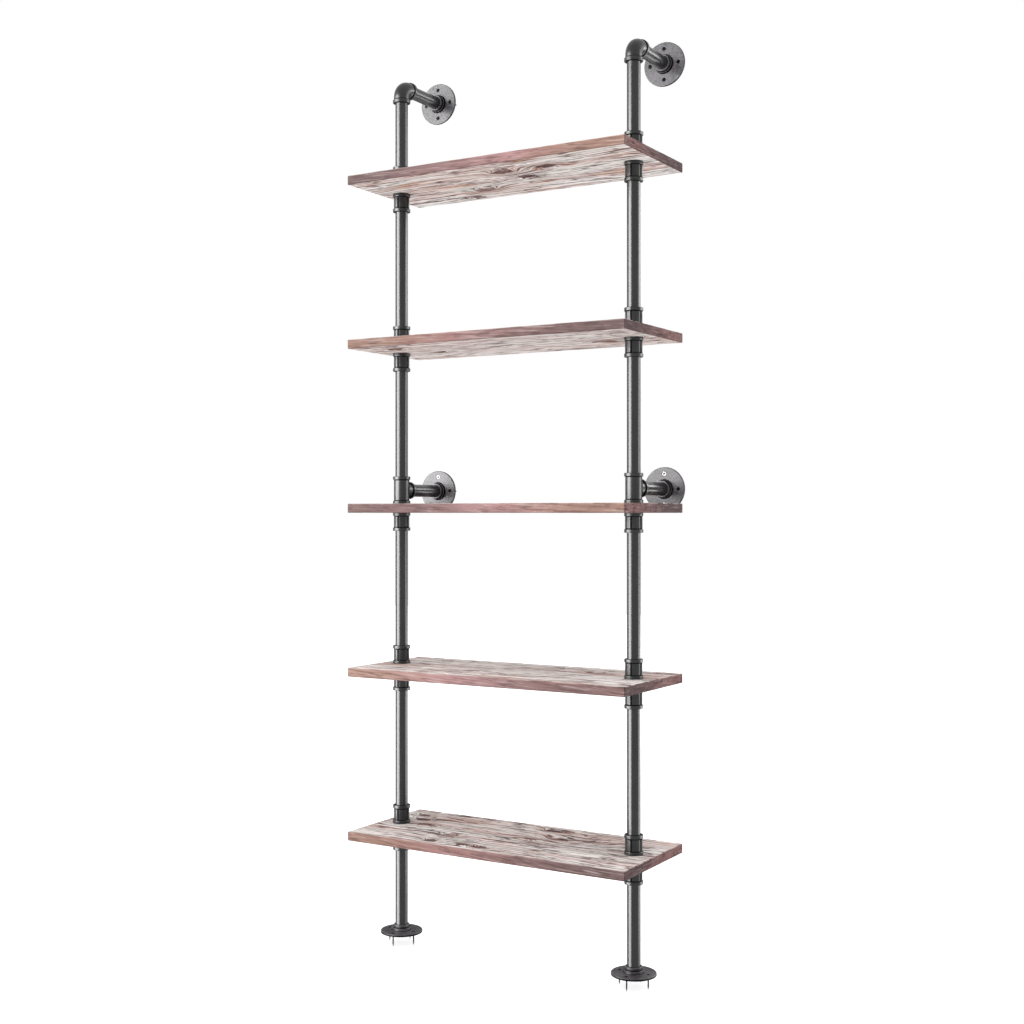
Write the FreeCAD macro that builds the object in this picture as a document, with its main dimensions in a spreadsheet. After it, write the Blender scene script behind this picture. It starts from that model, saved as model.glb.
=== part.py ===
import FreeCAD, Part
import math
import os
import Sketcher
from FreeCAD import Placement, Rotation, Vector

# A shelving unit of five boards on two uprights of screwed iron pipe, fixed to the floor and the wall.
# The floor is the plane z = 0 and the origin lies on it, midway between the uprights' axes.
# +X runs along the boards, +Y goes back to the wall, +Z is up. Lengths are millimetres.

doc = FreeCAD.newDocument("pipe_shelf")
sizes = doc.addObject("Spreadsheet::Sheet", "Sizes")

driving_sizes = {
    # boards
    "board_length": 640,
    "board_depth": 260,
    "board_thickness": 19,
    "board_edge_break": 1.2,
    "lowest_board_top": 233,       # over the floor
    "board_pitch": 340,            # top face to top face
    "upright_inset": 45,           # board end to upright axis
    "board_to_wall": 13.5,         # gap behind the boards
    "arm_over_top_board": 208,     # top board's top face to the axis of the top wall arms
    "upright_hole_clearance": 0.4,
    "seat_depth": 0.5,             # spot-faced seat under each fitting
    "seat_clearance": 0.4,
    # 3/4 inch pipe
    "pipe_diameter": 26.7,
    "pipe_wall": 2.9,
    "pipe_end_break": 0.8,
    "thread_clearance": 0.1,       # radial, between a pipe and the socket it is screwed into
    "thread_depth": 15.5,          # length of pipe inside a fitting
    # fittings
    "fitting_wall": 3.05,
    "band_step": 2.1,              # the band at each mouth stands this far out of the barrel
    "band_height": 7,
    "band_rounding": 1.5,
    "band_neck_fillet": 1.1,
    "coupling_middle": 8,          # gap between the two pipe ends inside a coupling
    "rib_width": 4,
    "rib_step": 1.3,
    "rib_foot": 1.5,               # how far a rib's foot reaches into the barrel
    "tee_shoulder": 0.55,          # end of the branch pipe to the run's socket wall
    "tee_branch_step": 0.7,        # the branch's neck is this much slimmer than the run
    "tee_crotch_fillet": 2.4,
    "elbow_inner_bend": 4.5,
    "elbow_straight": 12,          # straight length of each leg
    # flanges
    "flange_width": 26,            # hub foot to rim
    "plate_thickness": 4.5,
    "plate_rounding": 1.4,
    "hub_ledge": 2,                # the hub's foot is this much wider than its neck
    "hub_foot_rise": 5.5,          # ledge over the plate
    "hub_rise": 12.5,              # hub face over the plate
    "hub_rounding": 1.2,
    "hub_fillet": 1.6,
    "flange_thread_depth": 12.5,
    "screw_inset": 12.5,           # hub foot to screw axis
    # wood screws
    "screw_shank_diameter": 3.5,
    "screw_reach": 24.5,           # point of the screw past the flange's back face
    "screw_point_length": 6,
    "screw_tip_diameter": 0.6,
    "screw_hole_play": 1.35,       # radial, round the shank
    "screw_head_overlap": 0.8,     # radial, head over hole
    "countersink_margin": 0.4,     # the head's rim lies this deep in the countersink
    "screw_seat_gap": 0.05,
    "drive_slot_length": 4.4,
    "drive_slot_width": 1.1,
    "drive_slot_depth": 1.5,
}
for row, (alias, value) in enumerate(driving_sizes.items(), start=1):
    sizes.set(f"A{row}", alias)
    sizes.set(f"B{row}", str(value))
    sizes.setAlias(f"B{row}", alias)
doc.recompute()

BOARDS = (1, 2, 3, 4, 5)
TEE_BOARD = 3
TOP_BOARD = BOARDS[-1]
SIDES = {"left": -1, "right": 1}
UPWARD = Rotation()
TO_WALL = Rotation(Vector(1, 0, 0), -90)    # turns a piece's own +Z to +Y
FROM_WALL = Rotation(Vector(1, 0, 0), 90)   # turns a piece's own +Z to -Y

bodies = []


# Expressions that several pieces share. Radii of the fittings are built outward from the pipe.

PIPE = "(Sizes.pipe_diameter / 2)"
WATERWAY = "(Sizes.pipe_diameter / 2 - Sizes.pipe_wall)"
SOCKET = f"({PIPE} + Sizes.thread_clearance)"
BARREL = f"({SOCKET} + Sizes.fitting_wall)"
BAND = f"({BARREL} + Sizes.band_step)"
HUB_FOOT = f"({BARREL} + Sizes.hub_ledge)"
FLANGE = f"({HUB_FOOT} + Sizes.flange_width)"
HUB_HEIGHT = "(Sizes.plate_thickness + Sizes.hub_rise)"
SCREW_CIRCLE = f"({HUB_FOOT} + Sizes.screw_inset)"
SHANK = "(Sizes.screw_shank_diameter / 2)"
SCREW_HOLE = f"({SHANK} + Sizes.screw_hole_play)"
SCREW_HEAD = f"({SCREW_HOLE} + Sizes.screw_head_overlap)"
COUNTERSINK = f"({SCREW_HEAD} + Sizes.countersink_margin)"
COUPLING = "(2 * Sizes.thread_depth + Sizes.coupling_middle)"
TEE_REACH = f"({SOCKET} + Sizes.tee_shoulder + Sizes.thread_depth)"
ELBOW_BEND = f"({BARREL} + Sizes.elbow_inner_bend)"
ELBOW_REACH = f"({ELBOW_BEND} + Sizes.elbow_straight)"
WALL = "(Sizes.board_depth / 2 + Sizes.board_to_wall)"


def upright_x(side):
    return f"({SIDES[side]} * (Sizes.board_length / 2 - Sizes.upright_inset))"


def board_under(board):
    """Height of a board's underside."""
    return f"(Sizes.lowest_board_top + {board - 1} * Sizes.board_pitch - Sizes.board_thickness)"


def seat_above(board):
    """Height of the seat that the fitting above a board stands on."""
    return f"({board_under(board)} + Sizes.board_thickness - Sizes.seat_depth)"


def foot_of_coupling_under(board):
    """Height of the lower face of the coupling that is drawn up into a board's lower seat."""
    return f"({board_under(board)} + Sizes.seat_depth - {COUPLING})"


def head_of_fitting_above(board):
    """Height of the upper face of the coupling or tee that stands on a board."""
    length = f"2 * {TEE_REACH}" if board == TEE_BOARD else COUPLING
    return f"({seat_above(board)} + {length})"


TEE_AXIS = f"({seat_above(TEE_BOARD)} + {TEE_REACH})"
TOP_ARM_AXIS = f"({board_under(TOP_BOARD)} + Sizes.board_thickness + Sizes.arm_over_top_board)"


def number(expression):
    return float(sizes.evalExpression(expression))


# Sketches and features

def new_body(name, x="0", y="0", z="0", turn=UPWARD):
    body = doc.addObject("PartDesign::Body", name)
    body.Label = name
    body.Placement = Placement(Vector(number(x), number(y), number(z)), turn)
    for axis, expression in (("x", x), ("y", y), ("z", z)):
        body.setExpression(f"Placement.Base.{axis}", expression)
    bodies.append(body)
    return body


def origin_feature(body, role):
    return next(feature for feature in body.Origin.OriginFeatures if feature.Role == role)


def new_sketch(body, name, plane, **offset):
    """A sketch on an origin plane of the body, moved along the plane's own axes by expressions."""
    sketch = body.newObject("Sketcher::SketchObject", name)
    sketch.AttachmentSupport = [(origin_feature(body, plane), "")]
    sketch.MapMode = "FlatFace"
    for axis, expression in offset.items():
        sketch.setExpression(f"AttachmentOffset.Base.{axis}", expression)
    return sketch


def bind(sketch, constraint, expression):
    index = sketch.addConstraint(constraint)
    sketch.setExpression(f"Constraints[{index}]", expression)


def pin(sketch, geometry, end, across, up):
    """Hold one point of a sketch at two expressions, measured from the sketch's origin."""
    for kind, expression, axis in (("DistanceX", across, -2), ("DistanceY", up, -1)):
        if expression == "0":
            sketch.addConstraint(Sketcher.Constraint("PointOnObject", geometry, end, axis))
        else:
            distance = Sketcher.Constraint(kind, -1, 1, geometry, end, number(expression))
            bind(sketch, distance, expression)


def draw_outline(sketch, corners):
    """A closed outline of straight edges through corners given as pairs of expressions."""
    points = [Vector(number(across), number(up), 0) for across, up in corners]
    for start, end in zip(points, points[1:] + points[:1]):
        sketch.addGeometry(Part.LineSegment(start, end), False)
    for line, (across, up) in enumerate(corners):
        line_before = (line - 1) % len(corners)
        sketch.addConstraint(Sketcher.Constraint("Coincident", line_before, 2, line, 1))
        pin(sketch, line, 1, across, up)


def draw_circle(sketch, radius, across="0"):
    shape = Part.Circle(Vector(number(across), 0, 0), Vector(0, 0, 1), number(radius))
    circle = sketch.addGeometry(shape, False)
    pin(sketch, circle, 3, across, "0")
    bind(sketch, Sketcher.Constraint("Radius", circle, number(radius)), radius)


def draw_bend(sketch, reach, bend):
    """A leg up the vertical axis, a quarter arc and a leg along the level axis, as one tangent line."""
    far, near = number(reach), number(bend)
    circle = Part.Circle(Vector(near, -near, 0), Vector(0, 0, 1), near)
    lower = sketch.addGeometry(Part.LineSegment(Vector(0, -far, 0), Vector(0, -near, 0)), False)
    arc = sketch.addGeometry(Part.ArcOfCircle(circle, math.pi / 2, math.pi), False)
    rear = sketch.addGeometry(Part.LineSegment(Vector(near, 0, 0), Vector(far, 0, 0)), False)
    sketch.addConstraint(Sketcher.Constraint("Tangent", lower, 2, arc, 2))
    sketch.addConstraint(Sketcher.Constraint("Tangent", arc, 1, rear, 1))
    sketch.addConstraint(Sketcher.Constraint("PointOnObject", lower, 2, -2))
    sketch.addConstraint(Sketcher.Constraint("PointOnObject", rear, 1, -1))
    pin(sketch, lower, 1, "0", f"-{reach}")
    pin(sketch, rear, 2, reach, "0")
    bind(sketch, Sketcher.Constraint("Radius", arc, near), bend)


def turned(body, name, kind, plane, corners, axis="V_Axis", **offset):
    """A Revolution or a Groove of an outline about one of its sketch's axes."""
    sketch = new_sketch(body, f"{name}_outline", plane, **offset)
    draw_outline(sketch, corners)
    feature = body.newObject(f"PartDesign::{kind}", name)
    feature.Profile = sketch
    feature.ReferenceAxis = (sketch, [axis])
    feature.Angle = 360
    return feature


def extruded(body, name, kind, sketch, length):
    """A Pad or a Pocket of a sketch."""
    feature = body.newObject(f"PartDesign::{kind}", name)
    feature.Profile = sketch
    feature.setExpression("Length", length)
    return feature


def piped(body, name, kind, spine, radius, reach):
    """A round additive or subtractive pipe along the spine, from the mouth of the lower leg."""
    sketch = new_sketch(body, f"{name}_section", "XY_Plane", z=f"-{reach}")
    draw_circle(sketch, radius)
    feature = body.newObject(f"PartDesign::{kind}", name)
    feature.Profile = sketch
    feature.Spine = (spine, ["Edge1", "Edge2", "Edge3"])
    return feature


def dressed(body, name, kind, base, size, wanted):
    """A Fillet or a Chamfer on the edges of base for which wanted(edge) holds."""
    doc.recompute()
    names = [f"Edge{i}" for i, edge in enumerate(base.Shape.Edges, start=1) if wanted(edge)]
    feature = body.newObject(f"PartDesign::{kind}", name)
    feature.Base = (base, names)
    feature.setExpression("Radius" if kind == "Fillet" else "Size", size)
    return feature


def is_ring(radius, height=None):
    """Tests for a circular edge of one radius and, where a height is given, at that height."""
    def test(edge):
        curve = edge.Curve
        if not isinstance(curve, Part.Circle) or abs(curve.Radius - number(radius)) > 0.001:
            return False
        return height is None or abs(curve.Center.z - number(height)) < 0.001
    return test


def polar_four(body, name, originals):
    """Four copies of some features round the body's own Z axis."""
    pattern = body.newObject("PartDesign::PolarPattern", name)
    pattern.Originals = originals
    pattern.Axis = (origin_feature(body, "Z_Axis"), [""])
    pattern.Angle = 360
    pattern.Occurrences = 4
    body.Tip = pattern


# Pieces, each in its own frame

def make_pipe(name, length, **place):
    """A length of pipe up its own Z axis, with its cut ends broken."""
    body = new_body(name, **place)
    sketch = new_sketch(body, "section", "XY_Plane")
    draw_circle(sketch, PIPE)
    draw_circle(sketch, WATERWAY)
    tube = extruded(body, "tube", "Pad", sketch, length)
    dressed(body, "end_breaks", "Chamfer", tube, "Sizes.pipe_end_break", is_ring(PIPE))


def make_coupling(name, **place):
    """A coupling up its own Z axis: a band at each mouth and four ribs between the bands."""
    body = new_body(name, **place)
    band, upper_band = "Sizes.band_height", f"({COUPLING} - Sizes.band_height)"
    casting = turned(body, "casting", "Revolution", "XZ_Plane", [
        (SOCKET, "0"), (BAND, "0"), (BAND, band), (BARREL, band),
        (BARREL, upper_band), (BAND, upper_band), (BAND, COUPLING), (SOCKET, COUPLING)])
    bands = dressed(body, "band_roundings", "Fillet", casting, "Sizes.band_rounding", is_ring(BAND))
    dressed(body, "neck_fillets", "Fillet", bands, "Sizes.band_neck_fillet", is_ring(BARREL))
    foot, crest, half = f"({BARREL} - Sizes.rib_foot)", f"({BARREL} + Sizes.rib_step)", "Sizes.rib_width / 2"
    sketch = new_sketch(body, "rib_section", "XY_Plane", z="Sizes.band_height / 2")
    draw_outline(sketch, [(foot, f"-{half}"), (crest, f"-{half}"), (crest, half), (foot, half)])
    rib = extruded(body, "rib", "Pad", sketch, f"{COUPLING} - Sizes.band_height")
    polar_four(body, "ribs", [rib])


def make_tee(name, **place):
    """A tee about the crossing of its axes: the run along Z, the branch along +Y."""
    body = new_body(name, **place)
    floor = f"({TEE_REACH} - Sizes.thread_depth)"
    band_start = f"({TEE_REACH} - Sizes.band_height)"
    branch = f"({BARREL} - Sizes.tee_branch_step)"
    turned(body, "run", "Revolution", "XZ_Plane", [
        ("0", f"-{TEE_REACH}"), (BAND, f"-{TEE_REACH}"), (BAND, f"-{band_start}"),
        (BARREL, f"-{band_start}"), (BARREL, band_start), (BAND, band_start),
        (BAND, TEE_REACH), ("0", TEE_REACH)])
    arm = turned(body, "branch", "Revolution", "YZ_Plane", [
        ("0", "0"), ("0", branch), (band_start, branch), (band_start, BAND),
        (TEE_REACH, BAND), (TEE_REACH, "0")], axis="H_Axis")
    bands = dressed(body, "band_roundings", "Fillet", arm, "Sizes.band_rounding", is_ring(BAND))
    necks = dressed(body, "neck_fillets", "Fillet", bands, "Sizes.band_neck_fillet",
                    lambda edge: is_ring(BARREL)(edge) or is_ring(branch)(edge))
    dressed(body, "crotch_fillet", "Fillet", necks, "Sizes.tee_crotch_fillet",
            lambda edge: isinstance(edge.Curve, Part.BSplineCurve))
    turned(body, "run_bore", "Groove", "XZ_Plane", [
        ("0", f"-{TEE_REACH}"), (SOCKET, f"-{TEE_REACH}"), (SOCKET, f"-{floor}"), (WATERWAY, f"-{floor}"),
        (WATERWAY, floor), (SOCKET, floor), (SOCKET, TEE_REACH), ("0", TEE_REACH)])
    turned(body, "branch_bore", "Groove", "YZ_Plane", [
        ("0", "0"), ("0", WATERWAY), (floor, WATERWAY), (floor, SOCKET),
        (TEE_REACH, SOCKET), (TEE_REACH, "0")], axis="H_Axis")


def make_elbow(name, **place):
    """A right-angle elbow about the crossing of its axes: one leg down, one leg along +Y."""
    body = new_body(name, **place)
    floor = f"({ELBOW_REACH} - Sizes.thread_depth)"
    band_start = f"({ELBOW_REACH} - Sizes.band_height)"
    spine = new_sketch(body, "centre_line", "YZ_Plane")
    draw_bend(spine, ELBOW_REACH, ELBOW_BEND)
    piped(body, "bend", "AdditivePipe", spine, BARREL, ELBOW_REACH)
    turned(body, "lower_band", "Revolution", "XZ_Plane", [
        ("0", f"-{ELBOW_REACH}"), (BAND, f"-{ELBOW_REACH}"), (BAND, f"-{band_start}"),
        ("0", f"-{band_start}")])
    rear = turned(body, "rear_band", "Revolution", "YZ_Plane", [
        (ELBOW_REACH, "0"), (ELBOW_REACH, BAND), (band_start, BAND), (band_start, "0")], axis="H_Axis")
    dressed(body, "band_roundings", "Fillet", rear, "Sizes.band_rounding", is_ring(BAND))
    piped(body, "waterway", "SubtractivePipe", spine, WATERWAY, ELBOW_REACH)
    turned(body, "lower_socket", "Groove", "XZ_Plane", [
        ("0", f"-{ELBOW_REACH}"), (SOCKET, f"-{ELBOW_REACH}"), (SOCKET, f"-{floor}"), ("0", f"-{floor}")])
    turned(body, "rear_socket", "Groove", "YZ_Plane", [
        (ELBOW_REACH, "0"), (ELBOW_REACH, SOCKET), (floor, SOCKET), (floor, "0")], axis="H_Axis")


def make_flange(name, **place):
    """A round flange up its own Z axis from its back face, with four countersunk screw holes."""
    body = new_body(name, **place)
    front, ledge = "Sizes.plate_thickness", "(Sizes.plate_thickness + Sizes.hub_foot_rise)"
    casting = turned(body, "casting", "Revolution", "XZ_Plane", [
        (SOCKET, "0"), (FLANGE, "0"), (FLANGE, front), (HUB_FOOT, front),
        (HUB_FOOT, ledge), (BARREL, ledge), (BARREL, HUB_HEIGHT), (SOCKET, HUB_HEIGHT)])
    rim = dressed(body, "plate_rounding", "Fillet", casting, "Sizes.plate_rounding",
                  is_ring(FLANGE, front))
    hub = dressed(body, "hub_roundings", "Fillet", rim, "Sizes.hub_rounding",
                  lambda edge: is_ring(HUB_FOOT, ledge)(edge) or is_ring(BARREL, HUB_HEIGHT)(edge))
    dressed(body, "hub_fillet", "Fillet", hub, "Sizes.hub_fillet", is_ring(HUB_FOOT, front))
    sketch = new_sketch(body, "hole_centre", "XY_Plane", z=front)
    draw_circle(sketch, SCREW_HOLE, across=SCREW_CIRCLE)
    doc.recompute()
    hole = body.newObject("PartDesign::Hole", "screw_hole")
    hole.Profile = sketch
    hole.DepthType = "ThroughAll"
    hole.HoleCutType = "Countersink"
    hole.HoleCutCountersinkAngle = 90
    hole.setExpression("Diameter", f"2 * {SCREW_HOLE}")
    hole.setExpression("HoleCutDiameter", f"2 * {COUNTERSINK}")
    polar_four(body, "screw_holes", [hole])


def make_screws(name, **place):
    """The four countersunk wood screws of one flange, in the flange's own frame."""
    body = new_body(name, **place)
    body.AllowCompound = True
    head_top = "(Sizes.plate_thickness - Sizes.countersink_margin + Sizes.screw_seat_gap)"
    cone_foot = f"({head_top} - {SCREW_HEAD} + {SHANK})"
    tip, point = "Sizes.screw_tip_diameter / 2", "(Sizes.screw_reach - Sizes.screw_point_length)"
    screw = turned(body, "screw", "Revolution", "XZ_Plane", [
        ("0", "-Sizes.screw_reach"), (tip, "-Sizes.screw_reach"), (SHANK, f"-{point}"),
        (SHANK, cone_foot), (SCREW_HEAD, head_top), ("0", head_top)], x=SCREW_CIRCLE)
    long, slim = "Sizes.drive_slot_length / 2", "Sizes.drive_slot_width / 2"
    cross = new_sketch(body, "drive_cross", "XY_Plane", x=SCREW_CIRCLE, z=head_top)
    draw_outline(cross, [
        (long, f"-{slim}"), (long, slim), (slim, slim), (slim, long), (f"-{slim}", long),
        (f"-{slim}", slim), (f"-{long}", slim), (f"-{long}", f"-{slim}"), (f"-{slim}", f"-{slim}"),
        (f"-{slim}", f"-{long}"), (slim, f"-{long}"), (slim, f"-{slim}")])
    drive = extruded(body, "drive", "Pocket", cross, "Sizes.drive_slot_depth")
    polar_four(body, "screws", [screw, drive])


def cut_at_uprights(body, name, radius, height, depth):
    """A round pocket at each upright, cut down from a height in the body's frame."""
    sketch = new_sketch(body, f"{name}_circles", "XY_Plane", z=height)
    for side in SIDES:
        draw_circle(sketch, radius, across=upright_x(side))
    extruded(body, name, "Pocket", sketch, depth)


def make_board(board):
    """A board up from its underside, with a hole and two spot-faced seats at each upright."""
    body = new_body(f"shelf_{board}", z=board_under(board))
    end, edge, thick = "Sizes.board_length / 2", "Sizes.board_depth / 2", "Sizes.board_thickness"
    sketch = new_sketch(body, "outline", "XY_Plane")
    draw_outline(sketch, [(f"-{end}", f"-{edge}"), (end, f"-{edge}"), (end, edge), (f"-{end}", edge)])
    plank = extruded(body, "plank", "Pad", sketch, thick)
    dressed(body, "edge_breaks", "Chamfer", plank, "Sizes.board_edge_break",
            lambda line: line.Length > number(thick) + 0.001)
    cut_at_uprights(body, "upright_holes", f"{PIPE} + Sizes.upright_hole_clearance", thick, thick)
    cut_at_uprights(body, "upper_seats", f"{BAND} + Sizes.seat_clearance", thick, "Sizes.seat_depth")
    cut_at_uprights(body, "lower_seats", f"{BAND} + Sizes.seat_clearance", "Sizes.seat_depth",
                    "Sizes.seat_depth")


def make_nipples(board):
    """The two short nipples that join the fittings above and below a board, one on each upright."""
    body = new_body(f"shelf_{board}_nipples", z=f"{seat_above(board)} + Sizes.thread_depth")
    body.AllowCompound = True
    sketch = new_sketch(body, "sections", "XY_Plane")
    for side in SIDES:
        draw_circle(sketch, PIPE, across=upright_x(side))
        draw_circle(sketch, WATERWAY, across=upright_x(side))
    tubes = extruded(body, "tubes", "Pad", sketch,
                     "Sizes.board_thickness - 2 * Sizes.seat_depth + 2 * Sizes.thread_depth")
    tubes.Reversed = True
    dressed(body, "end_breaks", "Chamfer", tubes, "Sizes.pipe_end_break", is_ring(PIPE))


# The unit

def make_wall_arm(side, level, height, reach):
    """A pipe from a fitting back to a wall flange, with the flange and its screws."""
    x = upright_x(side)
    start = f"({reach} - Sizes.thread_depth)"
    end = f"({WALL} - {HUB_HEIGHT} + Sizes.flange_thread_depth)"
    make_pipe(f"{side}_{level}_wall_pipe", f"{end} - {start}", x=x, y=start, z=height, turn=TO_WALL)
    make_flange(f"{side}_{level}_wall_flange", x=x, y=WALL, z=height, turn=FROM_WALL)
    make_screws(f"{side}_{level}_wall_screws", x=x, y=WALL, z=height, turn=FROM_WALL)


def make_upright(side):
    """A floor flange, the fittings at each board, the pipes between them and two wall arms."""
    x = upright_x(side)
    make_flange(f"{side}_floor_flange", x=x)
    make_screws(f"{side}_floor_screws", x=x)
    start = f"({HUB_HEIGHT} - Sizes.flange_thread_depth)"
    pipe_name = f"{side}_bottom_pipe"
    for board in BOARDS:
        foot = foot_of_coupling_under(board)
        make_pipe(pipe_name, f"{foot} + Sizes.thread_depth - {start}", x=x, z=start)
        make_coupling(f"{side}_coupling_under_shelf_{board}", x=x, z=foot)
        if board == TEE_BOARD:
            make_tee(f"{side}_tee_above_shelf_{board}", x=x, z=TEE_AXIS)
        else:
            make_coupling(f"{side}_coupling_above_shelf_{board}", x=x, z=seat_above(board))
        start = f"({head_of_fitting_above(board)} - Sizes.thread_depth)"
        pipe_name = f"{side}_pipe_shelf_{board}_to_{board + 1}"
    end = f"({TOP_ARM_AXIS} - {ELBOW_REACH} + Sizes.thread_depth)"
    make_pipe(f"{side}_top_pipe", f"{end} - {start}", x=x, z=start)
    make_elbow(f"{side}_top_elbow", x=x, z=TOP_ARM_AXIS)
    make_wall_arm(side, "top", TOP_ARM_AXIS, ELBOW_REACH)
    make_wall_arm(side, "mid", TEE_AXIS, TEE_REACH)


for board in BOARDS:
    make_board(board)
    make_nipples(board)
for side in SIDES:
    make_upright(side)
doc.recompute()

for item in doc.Objects:
    if "Invalid" in item.State or "Error" in item.State:
        raise RuntimeError(f"{item.Name} failed: {item.State}")
for body in bodies:
    if body.Shape.isNull() or not body.Shape.isValid() or not body.Shape.Solids:
        raise RuntimeError(f"{body.Label} has no valid shape")
os.makedirs("parts", exist_ok=True)
for body in bodies:
    body.Shape.exportStep(f"parts/{body.Label}.step")
print(f"{len(bodies)} pieces, height of the top arms {number(TOP_ARM_AXIS):.1f} mm")
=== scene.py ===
import math
import bmesh
import bpy
import numpy as np
from mathutils import Matrix, Vector


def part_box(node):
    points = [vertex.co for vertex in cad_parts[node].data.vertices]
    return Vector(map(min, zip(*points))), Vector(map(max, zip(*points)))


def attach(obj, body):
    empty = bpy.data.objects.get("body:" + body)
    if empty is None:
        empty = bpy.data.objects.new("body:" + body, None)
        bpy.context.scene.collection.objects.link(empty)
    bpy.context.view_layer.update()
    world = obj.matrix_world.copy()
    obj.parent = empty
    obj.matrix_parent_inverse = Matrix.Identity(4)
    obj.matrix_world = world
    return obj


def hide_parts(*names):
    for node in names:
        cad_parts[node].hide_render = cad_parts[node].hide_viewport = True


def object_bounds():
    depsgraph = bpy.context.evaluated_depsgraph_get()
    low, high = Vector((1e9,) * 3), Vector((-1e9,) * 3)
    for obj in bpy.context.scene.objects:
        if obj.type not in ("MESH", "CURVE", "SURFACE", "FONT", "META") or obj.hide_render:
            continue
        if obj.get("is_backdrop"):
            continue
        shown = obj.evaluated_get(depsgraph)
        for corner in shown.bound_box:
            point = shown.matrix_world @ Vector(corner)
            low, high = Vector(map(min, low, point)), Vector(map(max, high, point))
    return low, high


# Pipe shelving unit: five boards on two uprights of screwed iron pipe. Metres, the undersides of the floor
# plates at z = 0, +X along the boards, +Y to the wall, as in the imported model.

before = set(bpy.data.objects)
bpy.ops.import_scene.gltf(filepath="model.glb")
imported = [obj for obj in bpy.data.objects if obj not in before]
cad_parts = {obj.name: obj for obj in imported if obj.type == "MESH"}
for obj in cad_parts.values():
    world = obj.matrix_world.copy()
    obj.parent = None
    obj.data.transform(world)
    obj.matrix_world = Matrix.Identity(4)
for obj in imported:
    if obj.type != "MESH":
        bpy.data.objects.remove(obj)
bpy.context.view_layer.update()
print("frame loaded,", len(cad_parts), "nodes")

mm = 0.001


def tone(red, green, blue):
    # a screen colour of 0 to 255 as the linear colour that shaders work in
    screen = np.array([red, green, blue]) / 255
    linear = np.where(screen <= 0.04045, screen / 12.92, ((screen + 0.055) / 1.055) ** 2.4)
    return (*linear.tolist(), 1.0)


# Camera

view = {"place": (1.4902, -2.4845, 0.8957), "turn": 30.956, "lens": 50.0, "sensor": 36.0}

cameraData = bpy.data.cameras.new("viewCamera")
cameraData.lens = view["lens"]
cameraData.sensor_width = view["sensor"]
cameraData.clip_end = 60
camera = bpy.data.objects.new("viewCamera", cameraData)
camera.location = view["place"]
camera.rotation_euler = (math.radians(90), 0, math.radians(view["turn"]))
bpy.context.scene.collection.objects.link(camera)
bpy.context.scene.camera = camera
print("camera set")


# Shader helpers

def newTree(name):
    material = bpy.data.materials.new(name)
    material.use_nodes = True
    material.node_tree.nodes.clear()
    return material, material.node_tree


def put(tree, kind, sockets=None, **settings):
    # adds one node, sets its options, and joins or fills its sockets
    node = tree.nodes.new("ShaderNode" + kind)
    for key, value in settings.items():
        setattr(node, key, value)
    for key, value in (sockets or {}).items():
        if isinstance(value, bpy.types.NodeSocket):
            tree.links.new(value, node.inputs[key])
        else:
            node.inputs[key].default_value = value
    return node


def calc(tree, operation, *values, clamp=False):
    return put(tree, "Math", dict(enumerate(values)), operation=operation, use_clamp=clamp).outputs[0]


def times(tree, first, second):
    return calc(tree, "MULTIPLY", first, second)


def plus(tree, first, second, clamp=False):
    return calc(tree, "ADD", first, second, clamp=clamp)


def blend(tree, share, first, second):
    # colour mix: share 0 gives the first colour, 1 the second
    return put(tree, "Mix", {0: share, 6: first, 7: second}, data_type="RGBA").outputs[2]


def spread(tree, value, low, high, toLow=0.0, toHigh=1.0):
    # smooth step of a value from low..high to toLow..toHigh
    node = put(tree, "MapRange", {0: value, 1: low, 2: high, 3: toLow, 4: toHigh},
               interpolation_type="SMOOTHSTEP")
    return node.outputs[0]


def noise(tree, vector, scale, detail, rough, wobble=0.0):
    node = put(tree, "TexNoise", {"Vector": vector, "Scale": scale, "Detail": detail,
                                  "Roughness": rough, "Distortion": wobble})
    return node.outputs[0]


def longNoise(tree, vector, scale, place, detail=2.0, rough=0.5):
    # noise read at vector * scale + place: its grain is long in the directions where the scale is small
    spot = put(tree, "Mapping", {"Vector": vector, "Scale": scale, "Location": place}).outputs[0]
    return noise(tree, spot, 1.0, detail, rough)


def finishMaterial(tree, shader, bumpHeight, bumpDepth, bumpStrength=1.0):
    bump = put(tree, "Bump", {"Height": bumpHeight, "Distance": bumpDepth, "Strength": bumpStrength})
    tree.links.new(bump.outputs[0], shader.inputs["Normal"])
    put(tree, "OutputMaterial", {"Surface": shader.outputs[0]})


# Iron finishes

pipePaint = {"dark": tone(26, 26, 28), "pale": tone(36, 36, 38), "rough": (0.24, 0.28), "grain": 900,
             "grainDepth": 0.000003, "waveDepth": 0.000002, "gloss": 0.45, "crevice": 0.0}
castPaint = {"dark": tone(10, 11, 12), "pale": tone(24, 25, 26), "rough": (0.3, 0.36), "grain": 700,
             "grainDepth": 0.00002, "waveDepth": 0.00001, "gloss": 0.5, "crevice": 1.0}
# the plates' paint is a lighter grey than the other iron: a painted reflection of the light on their flat
# faces; its speckle is cast grain
plateLitPaint = {"dark": tone(50, 48, 51), "pale": tone(124, 120, 125), "rough": (0.34, 0.42), "grain": 420,
              "grainDepth": 0.0002, "waveDepth": 0.00003, "gloss": 0.36, "crevice": 1.0}
screwPaint = {"dark": tone(8, 8, 9), "pale": tone(18, 18, 19), "rough": (0.4, 0.55), "grain": 2600,
              "grainDepth": 0.00002, "waveDepth": 0.00001, "gloss": 0.06, "crevice": 0.3}
# painted light: a near black for painted shade in creases and corners, and a near white with a little metal
# for a painted glint
shadeAndGlint = {"hollow": tone(6, 6, 7), "zinc": tone(244, 244, 244), "zincMetal": 0.2}


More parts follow.
